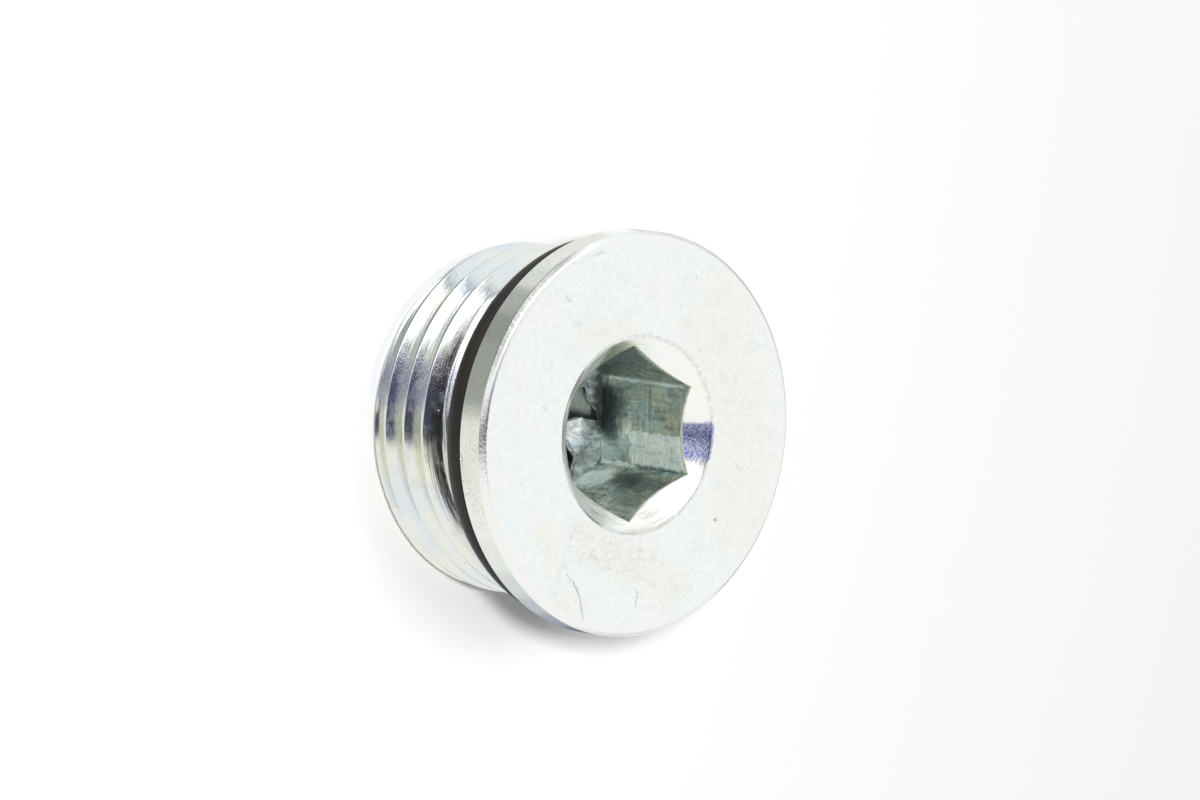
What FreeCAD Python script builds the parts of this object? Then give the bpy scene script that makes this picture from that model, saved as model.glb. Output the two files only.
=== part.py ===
import FreeCAD, Part
import Sketcher
import os

# Fill plug with a hollow hexagon head and a sealing ring under the head.
# Millimetres. The plug stands on the end of its stud: the axis is +Z, the origin is the
# centre of the stud's end face, and the socket opens upward in the head's face.
# Radii are used throughout; a hexagon corner points along +X.


# Driving sizes

SIZES = {
    "head_radius": 12.7,            # round flange head
    "head_thickness": 2.25,
    "head_front_chamfer": 0.32,     # 45 degree edge between face and rim
    "head_back_chamfer": 0.15,      # small broken edge on the sealing side
    "stud_length": 11.55,           # from the head's underside to the end face
    "thread_radius": 11.1125,       # crest radius of the 7/8-14 thread
    "thread_pitch": 1.8143,
    "thread_phase": 0.176,          # height of a groove's centre above the end face, at +X
    "thread_overcut": 0.08,         # how far the groove's cutter stands outside the crests
    "end_relief": 0.29,             # how far the end face's edge lies inside the thread's root
    "undercut_relief": 0.19,        # how far the undercut lies inside the thread's root
    "undercut_length": 3.75,        # cylindrical part of the undercut that carries the ring
    "socket_across_flats": 9.525,   # 3/8 inch hexagon
    "socket_depth": 9.3,            # from the head's face to the end of the flats
    "mouth_margin": 0.63,           # countersink radius beyond the hexagon's corners
    "mouth_angle": 45.0,            # countersink's wall, measured from the axis
    "pilot_allowance": 0.11,        # drilled pilot hole inside the hexagon's flats
    "pilot_extra_depth": 0.6,       # pilot hole beyond the end of the flats
    "pilot_point_angle": 59.0,      # half of the drill's point angle
    "ring_section_radius": 1.2,     # sealing ring's round section
    "ring_clearance": 0.03,         # between the ring and its two seats
}

# Fits, worked out from the driving sizes

FITS = {
    "total_length": "Sizes.stud_length + Sizes.head_thickness",
    "crest_flat": "Sizes.thread_pitch / 8",
    "thread_depth": "Sizes.thread_pitch * cos(30 deg) * 17 / 24",
    "root_radius": "Sizes.thread_radius - Fits.thread_depth",
    "cutter_radius": "Sizes.thread_radius + Sizes.thread_overcut",
    "cutter_half_width": "(Sizes.thread_pitch - Fits.crest_flat) / 2 + Sizes.thread_overcut * tan(30 deg)",
    "root_half_width": "(Sizes.thread_pitch - Fits.crest_flat) / 2 - Fits.thread_depth * tan(30 deg)",
    "cutter_start": "Sizes.thread_phase - Sizes.thread_pitch",
    "cutter_travel": "Sizes.stud_length - Sizes.undercut_length / 2 - Fits.cutter_start",
    "end_radius": "Fits.root_radius - Sizes.end_relief",
    "end_chamfer": "Sizes.thread_radius - Fits.end_radius",
    "undercut_radius": "Fits.root_radius - Sizes.undercut_relief",
    "undercut_start": "Sizes.stud_length - Sizes.undercut_length",
    "thread_end": "Fits.undercut_start - (Sizes.thread_radius - Fits.undercut_radius)",
    "hex_corner_radius": "Sizes.socket_across_flats / 2 / cos(30 deg)",
    "mouth_radius": "Fits.hex_corner_radius + Sizes.mouth_margin",
    "pilot_radius": "Sizes.socket_across_flats / 2 - Sizes.pilot_allowance",
    "mouth_bottom": "Fits.total_length - (Fits.mouth_radius - Fits.pilot_radius)"
                    " / tan(Sizes.mouth_angle * 1 deg)",
    "pilot_bottom": "Fits.total_length - Sizes.socket_depth - Sizes.pilot_extra_depth",
    "pilot_tip": "Fits.pilot_bottom - Fits.pilot_radius / tan(Sizes.pilot_point_angle * 1 deg)",
    "ring_centre_radius": "Fits.undercut_radius + Sizes.ring_clearance + Sizes.ring_section_radius",
    "ring_height": "Sizes.stud_length - Sizes.ring_clearance - Sizes.ring_section_radius",
}


def fill_sheet(document, name, cells):
    sheet = document.addObject("Spreadsheet::Sheet", name)
    for row, (alias, content) in enumerate(cells.items(), start=1):
        sheet.set("A%d" % row, alias)
        sheet.set("B%d" % row, content)
        sheet.setAlias("B%d" % row, alias)
    document.recompute()
    return sheet


def origin_plane(body, role):
    for feature in body.Origin.OriginFeatures:
        if feature.Role == role:
            return feature
    raise ValueError("no origin plane " + role)


def new_sketch(body, name, role):
    sketch = body.newObject("Sketcher::SketchObject", name)
    sketch.AttachmentSupport = [(origin_plane(body, role), "")]
    sketch.MapMode = "FlatFace"
    return sketch


def size_of(item, text):
    return float(item.evalExpression(text)) if text else 0.0


def pin_point(sketch, geometry, end, across, along):
    # Places a sketch point by two named expressions; None puts it on that axis of the sketch.
    for kind, axis, text in (("DistanceX", -2, across), ("DistanceY", -1, along)):
        if text is None:
            sketch.addConstraint(Sketcher.Constraint("PointOnObject", geometry, end, axis))
        else:
            number = sketch.addConstraint(
                Sketcher.Constraint(kind, -1, 1, geometry, end, size_of(sketch, text)))
            sketch.setExpression("Constraints[%d]" % number, text)


def closed_outline(sketch, corners):
    # A closed polygon whose corners follow the sheets: each corner is (across, along).
    points = [FreeCAD.Vector(size_of(sketch, across), size_of(sketch, along), 0)
              for across, along in corners]
    count = len(points)
    for number in range(count):
        sketch.addGeometry(Part.LineSegment(points[number], points[(number + 1) % count]))
    for number in range(count):
        sketch.addConstraint(
            Sketcher.Constraint("Coincident", number, 2, (number + 1) % count, 1))
    for number, (across, along) in enumerate(corners):
        pin_point(sketch, number, 1, across, along)


def turn_about_axis(body, kind, name, sketch):
    feature = body.newObject(kind, name)
    feature.Profile = sketch
    feature.ReferenceAxis = (sketch, ["V_Axis"])
    feature.Angle = 360
    body.Document.recompute()
    return feature


def make_plug_body(document):
    body = document.addObject("PartDesign::Body", "plug_body")
    body.Label = "plug_body"

    # Turned blank: end face, end chamfer, thread cylinder, run-out, undercut and flange head
    blank_sketch = new_sketch(body, "blank_outline", "XZ_Plane")
    closed_outline(blank_sketch, [
        (None, None),
        ("Fits.end_radius", None),
        ("Sizes.thread_radius", "Fits.end_chamfer"),
        ("Sizes.thread_radius", "Fits.thread_end"),
        ("Fits.undercut_radius", "Fits.undercut_start"),
        ("Fits.undercut_radius", "Sizes.stud_length"),
        ("Sizes.head_radius - Sizes.head_back_chamfer", "Sizes.stud_length"),
        ("Sizes.head_radius", "Sizes.stud_length + Sizes.head_back_chamfer"),
        ("Sizes.head_radius", "Fits.total_length - Sizes.head_front_chamfer"),
        ("Sizes.head_radius - Sizes.head_front_chamfer", "Fits.total_length"),
        (None, "Fits.total_length"),
    ])
    turn_about_axis(body, "PartDesign::Revolution", "blank", blank_sketch)

    # Countersunk mouth and drilled pilot hole with its pointed bottom
    hole_sketch = new_sketch(body, "hole_outline", "XZ_Plane")
    closed_outline(hole_sketch, [
        (None, "Fits.pilot_tip"),
        ("Fits.pilot_radius", "Fits.pilot_bottom"),
        ("Fits.pilot_radius", "Fits.mouth_bottom"),
        ("Fits.mouth_radius", "Fits.total_length"),
        (None, "Fits.total_length"),
    ])
    turn_about_axis(body, "PartDesign::Groove", "pilot_hole", hole_sketch)

    # Broached hexagon socket, cut down from the head's face
    hexagon_sketch = new_sketch(body, "hexagon_outline", "XY_Plane")
    hexagon_sketch.setExpression("AttachmentOffset.Base.z", "Fits.total_length")
    document.recompute()
    half_flat = "Sizes.socket_across_flats / 2"
    half_side = "Fits.hex_corner_radius / 2"
    closed_outline(hexagon_sketch, [
        ("Fits.hex_corner_radius", None),
        (half_side, half_flat),
        ("-" + half_side, half_flat),
        ("-Fits.hex_corner_radius", None),
        ("-" + half_side, "-" + half_flat),
        (half_side, "-" + half_flat),
    ])
    socket = body.newObject("PartDesign::Pocket", "hexagon_socket")
    socket.Profile = hexagon_sketch
    socket.Type = "Length"
    socket.setExpression("Length", "Sizes.socket_depth")
    document.recompute()

    # Right-hand thread: one 60 degree groove wound from below the end face into the undercut
    groove_sketch = new_sketch(body, "thread_groove_outline", "XZ_Plane")
    closed_outline(groove_sketch, [
        ("Fits.root_radius", "Fits.cutter_start - Fits.root_half_width"),
        ("Fits.cutter_radius", "Fits.cutter_start - Fits.cutter_half_width"),
        ("Fits.cutter_radius", "Fits.cutter_start + Fits.cutter_half_width"),
        ("Fits.root_radius", "Fits.cutter_start + Fits.root_half_width"),
    ])
    thread = body.newObject("PartDesign::SubtractiveHelix", "thread")
    thread.Profile = groove_sketch
    thread.ReferenceAxis = (groove_sketch, ["V_Axis"])
    thread.Mode = "pitch-height-angle"
    thread.setExpression("Pitch", "Sizes.thread_pitch")
    thread.setExpression("Height", "Fits.cutter_travel")
    thread.Angle = 0
    thread.LeftHanded = False
    thread.Refine = False
    document.recompute()
    return body


def make_sealing_ring(document):
    body = document.addObject("PartDesign::Body", "sealing_ring")
    body.Label = "sealing_ring"
    section = new_sketch(body, "ring_section", "XZ_Plane")
    centre = FreeCAD.Vector(
        size_of(section, "Fits.ring_centre_radius"), size_of(section, "Fits.ring_height"), 0)
    radius = size_of(section, "Sizes.ring_section_radius")
    section.addGeometry(Part.Circle(centre, FreeCAD.Vector(0, 0, 1), radius))
    pin_point(section, 0, 3, "Fits.ring_centre_radius", "Fits.ring_height")
    number = section.addConstraint(Sketcher.Constraint("Radius", 0, radius))
    section.setExpression("Constraints[%d]" % number, "Sizes.ring_section_radius")
    turn_about_axis(body, "PartDesign::Revolution", "ring", section)
    return body


def check_document(document, sub_parts):
    for item in document.Objects:
        if "Invalid" in item.State or "Error" in item.State:
            raise RuntimeError("%s is %s" % (item.Label, item.State))
    for item in sub_parts:
        if item.Shape.isNull() or not item.Shape.isValid():
            raise RuntimeError("%s has no valid shape" % item.Label)


def main():
    document = FreeCAD.newDocument("fill_plug")
    fill_sheet(document, "Sizes", {name: str(value) for name, value in SIZES.items()})
    fill_sheet(document, "Fits", {name: "=" + text for name, text in FITS.items()})
    sub_parts = [make_plug_body(document), make_sealing_ring(document)]
    document.recompute()
    check_document(document, sub_parts)
    os.makedirs("parts", exist_ok=True)
    for item in sub_parts:
        item.Shape.exportStep(os.path.join("parts", item.Label + ".step"))
        print(item.Label, round(item.Shape.Volume, 2), len(item.Shape.Solids), item.Shape.BoundBox)


main()
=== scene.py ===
import math
import random

import bpy
import numpy as np
from mathutils import Matrix, Vector


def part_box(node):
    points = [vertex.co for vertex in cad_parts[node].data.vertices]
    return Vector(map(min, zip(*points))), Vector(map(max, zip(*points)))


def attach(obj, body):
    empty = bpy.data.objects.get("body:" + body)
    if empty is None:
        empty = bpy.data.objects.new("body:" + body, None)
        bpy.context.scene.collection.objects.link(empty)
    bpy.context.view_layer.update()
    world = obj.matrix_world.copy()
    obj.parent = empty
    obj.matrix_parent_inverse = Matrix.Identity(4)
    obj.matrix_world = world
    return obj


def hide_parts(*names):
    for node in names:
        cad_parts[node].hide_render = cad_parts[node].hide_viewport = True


# Fill plug with a flanged hexagon-socket head, a threaded stud and a rubber ring.
# Metres in the scene; the sizes below are in millimetres and turned to metres by MM.
# The plug stands on its stud's end face at z = 0, and +X runs through a corner of the hexagon.

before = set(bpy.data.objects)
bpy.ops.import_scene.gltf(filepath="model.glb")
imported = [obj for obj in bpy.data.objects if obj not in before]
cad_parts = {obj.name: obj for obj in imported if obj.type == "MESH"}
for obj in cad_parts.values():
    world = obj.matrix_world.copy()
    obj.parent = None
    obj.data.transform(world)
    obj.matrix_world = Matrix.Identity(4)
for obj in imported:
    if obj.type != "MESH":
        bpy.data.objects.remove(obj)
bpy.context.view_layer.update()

MM = 0.001
BODY_LOW, BODY_HIGH = (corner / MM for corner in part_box("plug_body"))
RING_LOW, RING_HIGH = (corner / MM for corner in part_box("sealing_ring"))


# Sizes of the plug

HEAD_RADIUS = BODY_HIGH.x
TOTAL_LENGTH = BODY_HIGH.z - BODY_LOW.z
HEAD_THICKNESS = 2.25
FRONT_CHAMFER = 0.32
BACK_CHAMFER = 0.15
STUD_LENGTH = TOTAL_LENGTH - HEAD_THICKNESS

THREAD_RADIUS = 11.1125
PITCH = 1.8143
THREAD_PHASE = 0.176          # height of a groove's centre above the end face, at +X
FLANK = math.radians(30.0)
CREST_FLAT = PITCH / 8
THREAD_DEPTH = PITCH * math.cos(FLANK) * 17 / 24
ROOT_RADIUS = THREAD_RADIUS - THREAD_DEPTH
END_RELIEF = 0.29             # how far the end face's edge and the undercut lie inside the root
UNDERCUT_RELIEF = 0.19
UNDERCUT_LENGTH = 3.75
END_RADIUS = ROOT_RADIUS - END_RELIEF
UNDERCUT_RADIUS = ROOT_RADIUS - UNDERCUT_RELIEF
UNDERCUT_START = STUD_LENGTH - UNDERCUT_LENGTH

ACROSS_FLATS = 9.525
WALL_SPAN = math.radians(60.0)
SOCKET_DEPTH = 9.3
MOUTH_MARGIN = 0.63           # countersink radius beyond the hexagon's corners
PILOT_ALLOWANCE = 0.11        # drilled pilot hole inside the hexagon's flats
PILOT_EXTRA_DEPTH = 0.6
DRILL_POINT = math.radians(59.0)
HEX_CORNER = ACROSS_FLATS / 2 / math.cos(WALL_SPAN / 2)
MOUTH_RADIUS = HEX_CORNER + MOUTH_MARGIN
SOCKET_BOTTOM = TOTAL_LENGTH - SOCKET_DEPTH
PILOT_RADIUS = ACROSS_FLATS / 2 - PILOT_ALLOWANCE
PILOT_BOTTOM = SOCKET_BOTTOM - PILOT_EXTRA_DEPTH
PILOT_TIP = PILOT_BOTTOM - PILOT_RADIUS / math.tan(DRILL_POINT)

RING_SECTION = (RING_HIGH.z - RING_LOW.z) / 2
RING_CENTRE = RING_HIGH.x - RING_SECTION
RING_HEIGHT = (RING_HIGH.z + RING_LOW.z) / 2

# Roundings that the plating and wear leave on machined corners
SOFT_EDGE = 0.05
FACE_EDGE = 0.30
MOUTH_EDGE = 0.09
LIP = 0.05
CREST_EDGE = 0.07
ROOT_EDGE = 0.16
UNDERCUT_FILLET = 0.2

AROUND = 360                  # points round the axis
TURN = 2 * math.pi


# Outlines and meshes

def rounded(points, radii, steps=3):
    """A polyline of (radius, height) corners with its inner corners turned to small arcs."""
    result = [points[0]]
    for number in range(1, len(points) - 1):
        corner = np.array(points[number], float)
        before = np.array(points[number - 1], float) - corner
        after = np.array(points[number + 1], float) - corner
        reach_before, reach_after = np.linalg.norm(before), np.linalg.norm(after)
        before, after = before / reach_before, after / reach_after
        half = math.acos(max(-1.0, min(1.0, float(before @ after)))) / 2
        radius = radii[number]
        if radius <= 0 or half > math.radians(89.5):
            result.append(tuple(corner))
            continue
        setback = min(radius / math.tan(half), 0.45 * reach_before, 0.45 * reach_after)
        radius = setback * math.tan(half)
        middle = (before + after) / np.linalg.norm(before + after)
        centre = corner + middle * radius / math.sin(half)
        first = corner + before * setback - centre
        last = corner + after * setback - centre
        sweep = math.pi - 2 * half
        for step in range(steps + 1):
            share = step / steps
            blend = math.sin((1 - share) * sweep) * first + math.sin(share * sweep) * last
            result.append(tuple(centre + blend / math.sin(sweep)))
    result.append(points[-1])
    return result


def divided(points, longest):
    """The same polyline with its long runs cut into even pieces."""
    result = [points[0]]
    for start, end in zip(points, points[1:]):
        count = max(1, math.ceil(math.dist(start, end) / longest))
        for step in range(1, count + 1):
            share = step / count
            result.append((start[0] + (end[0] - start[0]) * share,
                           start[1] + (end[1] - start[1]) * share))
    return result


def new_object(name, data):
    """An object in the scene that shows a mesh, a lamp or a camera."""
    placed = bpy.data.objects.new(name, data)
    bpy.context.scene.collection.objects.link(placed)
    return placed


class Surface:
    """Collects points and faces, each face with the number of its finish."""

    def __init__(self):
        self.points = []
        self.faces = []
        self.finishes = []

    def ring(self, radius, height):
        """A closed ring, by numbers or functions of the angle. It gives back its first index."""
        first = len(self.points)
        for number in range(AROUND):
            angle = TURN * number / AROUND
            r = radius(angle) if callable(radius) else radius
            z = height(angle) if callable(height) else height
            self.points.append((r * math.cos(angle), r * math.sin(angle), z))
        return first

    def band(self, low, high, finish):
        """Faces between two rings, by their first indices."""
        for number in range(AROUND):
            following = (number + 1) % AROUND
            self.face((low + number, low + following, high + following, high + number), finish)

    def face(self, corners, finish):
        kept = [corner for number, corner in enumerate(corners) if corner != corners[number - 1]]
        if len(set(kept)) >= 3:
            self.faces.append(tuple(kept))
            self.finishes.append(finish)

    def rings(self, outline, finish, start=None):
        """Bands through every (radius, height) of an outline, from its first point or a given ring."""
        last = self.ring(*outline[0]) if start is None else start
        for radius, height in outline[1:]:
            here = self.ring(radius, height)
            self.band(last, here, finish)
            last = here
        return last

    def cap(self, ring, point, finish):
        """Faces from a ring to one point."""
        self.points.append(point)
        centre = len(self.points) - 1
        for number in range(AROUND):
            self.face((ring + number, ring + (number + 1) % AROUND, centre), finish)

    def build(self, name, finishes, sharp_deg):
        mesh = bpy.data.meshes.new(name)
        scaled = [(x * MM, y * MM, z * MM) for x, y, z in self.points]
        mesh.from_pydata(scaled, [], self.faces)
        for finish in finishes:
            mesh.materials.append(finish)
        mesh.polygons.foreach_set("material_index", self.finishes)
        mesh.update()
        mesh.shade_smooth()
        mesh.set_sharp_from_angle(angle=math.radians(sharp_deg))
        return new_object(name, mesh)


# The turned and threaded body

FACE, RIM, EDGE, THREAD, MOUTH, LIPS, SOCKET, PILOT = range(8)


def thread_profile():
    """One pitch of the thread as (height from the groove's centre, radius), from crest to crest."""
    crest_edge = PITCH / 2 - CREST_FLAT / 2
    root_edge = crest_edge - THREAD_DEPTH * math.tan(FLANK)
    corners = [(-PITCH / 2, THREAD_RADIUS), (-crest_edge, THREAD_RADIUS), (-root_edge, ROOT_RADIUS),
               (root_edge, ROOT_RADIUS), (crest_edge, THREAD_RADIUS), (PITCH / 2, THREAD_RADIUS)]
    soft = rounded(corners, [0, CREST_EDGE, ROOT_EDGE, ROOT_EDGE, CREST_EDGE, 0], steps=4)
    return divided(soft, longest=0.2)[:-1]


def wound_thread(surface, low_ring, high_ring):
    """The threaded stretch on a lattice that winds with the thread, between two plain rings."""
    profile = thread_profile()
    count = len(profile)
    start = THREAD_PHASE - 2 * PITCH
    steps = math.ceil((UNDERCUT_START - start + PITCH) / PITCH) * AROUND
    index = {}

    def lattice(step, row):
        if row == count:
            return lattice(step + AROUND, 0)
        if (step, row) in index:
            return index[step, row]
        offset, radius = profile[row]
        height = start + offset + PITCH * step / AROUND
        if height <= 0:
            place = low_ring + step % AROUND
        elif height >= UNDERCUT_START:
            place = high_ring + step % AROUND
        else:
            angle = TURN * step / AROUND
            radius = min(radius, END_RADIUS + height, UNDERCUT_RADIUS + UNDERCUT_START - height)
            place = len(surface.points)
            surface.points.append((radius * math.cos(angle), radius * math.sin(angle), height))
        index[step, row] = place
        return place

    for step in range(steps):
        for row in range(count):
            surface.face((lattice(step, row), lattice(step + 1, row),
                          lattice(step + 1, row + 1), lattice(step, row + 1)), THREAD)


def flat_distance(angle):
    """Distance from the axis to the hexagon's wall, at an angle."""
    return ACROSS_FLATS / 2 / math.cos((angle % WALL_SPAN) - WALL_SPAN / 2)


def make_plug_body(finishes):
    surface = Surface()

    # Stud end and thread
    end_ring = surface.ring(END_RADIUS, 0)
    end_face = [(END_RADIUS * share, 0) for share in (1, 0.66, 0.33)]
    inner = surface.rings(end_face, THREAD, start=end_ring)
    surface.cap(inner, (0, 0, 0), THREAD)
    undercut_ring = surface.ring(UNDERCUT_RADIUS, UNDERCUT_START)
    wound_thread(surface, end_ring, undercut_ring)

    # Undercut, head's underside and rim
    rim_end = TOTAL_LENGTH - FRONT_CHAMFER - 2 * SOFT_EDGE
    outside = rounded([
        (UNDERCUT_RADIUS, UNDERCUT_START),
        (UNDERCUT_RADIUS, STUD_LENGTH),
        (HEAD_RADIUS - BACK_CHAMFER, STUD_LENGTH),
        (HEAD_RADIUS, STUD_LENGTH + BACK_CHAMFER),
        (HEAD_RADIUS, rim_end),
    ], [0, UNDERCUT_FILLET, SOFT_EDGE, SOFT_EDGE, 0])
    last = surface.rings(divided(outside, longest=0.4), RIM, start=undercut_ring)

    # Chamfer and face
    face_start = HEAD_RADIUS - FRONT_CHAMFER - FACE_EDGE
    chamfer = rounded([
        (HEAD_RADIUS, rim_end),
        (HEAD_RADIUS, TOTAL_LENGTH - FRONT_CHAMFER),
        (HEAD_RADIUS - FRONT_CHAMFER, TOTAL_LENGTH),
        (face_start, TOTAL_LENGTH),
    ], [0, SOFT_EDGE, FACE_EDGE, 0], steps=5)
    last = surface.rings(chamfer, EDGE, start=last)
    face_end = MOUTH_RADIUS + 2 * MOUTH_EDGE
    face = divided([(face_start, TOTAL_LENGTH), (face_end, TOTAL_LENGTH)], longest=0.8)
    last = surface.rings(face, FACE, start=last)

    # Countersink: a round band at its top, then a cone that the hexagon's walls cut off
    top_band = 0.4
    cone_top = MOUTH_RADIUS - top_band
    mouth = rounded([
        (face_end, TOTAL_LENGTH),
        (MOUTH_RADIUS, TOTAL_LENGTH),
        (cone_top, TOTAL_LENGTH - top_band),
    ], [0, MOUTH_EDGE, 0], steps=4)
    last = surface.rings(mouth, MOUTH, start=last)

    def cone_ring(share):
        def radius(angle):
            return cone_top + (flat_distance(angle) + LIP - cone_top) * share

        def height(angle):
            return TOTAL_LENGTH - (MOUTH_RADIUS - radius(angle))
        return radius, height

    cone = [cone_ring(step / 8) for step in range(1, 9)]
    last = surface.rings([mouth[-1]] + cone, MOUTH, start=last)

    # Hexagon walls below their rounded lips, ledge, pilot hole and its pointed bottom
    def wall_ring(share):
        def height(angle):
            top = TOTAL_LENGTH - (MOUTH_RADIUS - flat_distance(angle)) - 2 * LIP
            return top + (SOCKET_BOTTOM - top) * share
        return flat_distance, height

    walls = [wall_ring(step / 20) for step in range(21)]
    last = surface.rings([cone[-1], walls[0]], LIPS, start=last)
    last = surface.rings(walls, SOCKET, start=last)
    pilot = [(PILOT_RADIUS, SOCKET_BOTTOM), (PILOT_RADIUS, PILOT_BOTTOM)]
    last = surface.rings([walls[-1]] + divided(pilot, longest=0.3), PILOT, start=last)
    tip_radius = 0.4
    tip_height = PILOT_TIP + tip_radius / math.tan(DRILL_POINT)
    point = divided([(PILOT_RADIUS, PILOT_BOTTOM), (tip_radius, tip_height)], longest=0.6)
    last = surface.rings(point, PILOT, start=last)
    surface.cap(last, (0, 0, PILOT_TIP), PILOT)

    piece = surface.build("threaded_plug", finishes, 32.0)
    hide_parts("plug_body")
    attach(piece, "root")


# The ring's moulding line: its height, and the share of the section that it spans
FLASH_HEIGHT = 0.012
FLASH_SPREAD = 0.05


def make_sealing_ring(finish):
    """The rubber ring, a torus with a faint moulding line round its outside."""
    surface = Surface()
    rows = 48
    rings = []
    for row in range(rows):
        angle = TURN * row / rows
        flash = FLASH_HEIGHT * math.exp(-(math.sin(angle / 2) / FLASH_SPREAD) ** 2)
        section = RING_SECTION - FLASH_HEIGHT + flash
        rings.append(surface.ring(RING_CENTRE + section * math.cos(angle),
                                  RING_HEIGHT + section * math.sin(angle)))
    for row in range(rows):
        surface.band(rings[row], rings[(row + 1) % rows], 0)
    piece = surface.build("rubber_ring", [finish], 60.0)
    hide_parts("sealing_ring")
    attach(piece, "root")


# How far the heap of chips at each corner of the hexagon reaches in, as radii across the heap
CHIP_REACHES = [
    (4.5, 4.2, 3.9, 3.7, 3.9, 3.8, 4.1, 4.3, 4.4, 4.5),
    (4.6, 4.1, 3.8, 3.7, 2.6, 1.6, 1.4, 1.5, 1.8, 3.0),
    (4.5, 4.3, 4.0, 3.9, 4.1, 3.8, 3.9, 4.2, 4.3, 4.5),
    (4.5, 4.2, 4.3, 3.9, 3.7, 3.9, 4.0, 4.3, 4.2, 4.5),
    (4.5, 4.4, 4.1, 3.8, 4.0, 3.7, 3.6, 4.1, 4.3, 4.5),
    (4.6, 4.3, 4.2, 4.0, 4.1, 3.9, 4.2, 4.3, 4.4, 4.5),
]

CHIP_SPREAD = 58.0            # degrees round the axis that a heap covers
CHIP_SWAY = 3.5               # degrees by which its rows stray towards the middle
CHIP_THICKNESS = 0.25
CHIP_LEVEL = 0.30             # the heap's outer edge above the end of the flats


def chip_point(dice, corner, across, reach, share):
    """A point on a heap's crumpled top: across runs along the wall, and share from the wall inwards."""
    sway = dice.uniform(-CHIP_SWAY, CHIP_SWAY) * share
    angle = math.radians(60 * corner + CHIP_SPREAD * (across - 0.5) + sway)
    outer = flat_distance(angle) - 0.02
    radius = outer + (min(reach, outer - 0.08) - outer) * share + dice.uniform(-0.05, 0.05) * share
    # Nearly flat beside the wall, and crumpled from about a millimetre inwards
    crumple = 0.04 + 0.34 * min(1.0, max(0.0, (outer - radius - 0.9) / 0.6))
    drop = 0.10 * (outer - radius) + dice.uniform(-crumple, crumple)
    return radius * math.cos(angle), radius * math.sin(angle), SOCKET_BOTTOM + CHIP_LEVEL - drop


def make_broach_chips(finish):
    """Crumpled metal that the broach pushed down to the socket's bottom, a torn heap in each corner."""
    surface = Surface()
    dice = random.Random(11)
    rows = 5
    for corner, reaches in enumerate(CHIP_REACHES):
        columns = len(reaches)
        sides = []
        for thickness in (0.0, CHIP_THICKNESS):
            sides.append([])
            for column, reach in enumerate(reaches):
                for row in range(rows):
                    x, y, z = chip_point(dice, corner, column / (columns - 1), reach, row / (rows - 1))
                    sides[-1].append(len(surface.points))
                    surface.points.append((x, y, z - thickness))
        top, under = sides
        for column in range(columns - 1):
            for row in range(rows - 1):
                here = column * rows + row
                quad = (here, here + 1, here + rows + 1, here + rows)
                surface.face([top[number] for number in quad], 0)
                surface.face([under[number] for number in reversed(quad)], 0)
        edge = (list(range(rows)) + [column * rows + rows - 1 for column in range(1, columns)]
                + [(columns - 1) * rows + row for row in range(rows - 2, -1, -1)]
                + [column * rows for column in range(columns - 2, 0, -1)])
        for number, here in enumerate(edge):
            before = edge[number - 1]
            surface.face((top[before], under[before], under[here], top[here]), 0)
    piece = surface.build("broach_chips", [finish], 14.0)
    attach(piece, "root")


# Shader wiring

# Turned coordinates keep their true size at this radius in millimetres, and change this many times
# faster across the axis than along it
TURNED_RADIUS = 12.0
TURNED_RATE = 1.7


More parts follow.
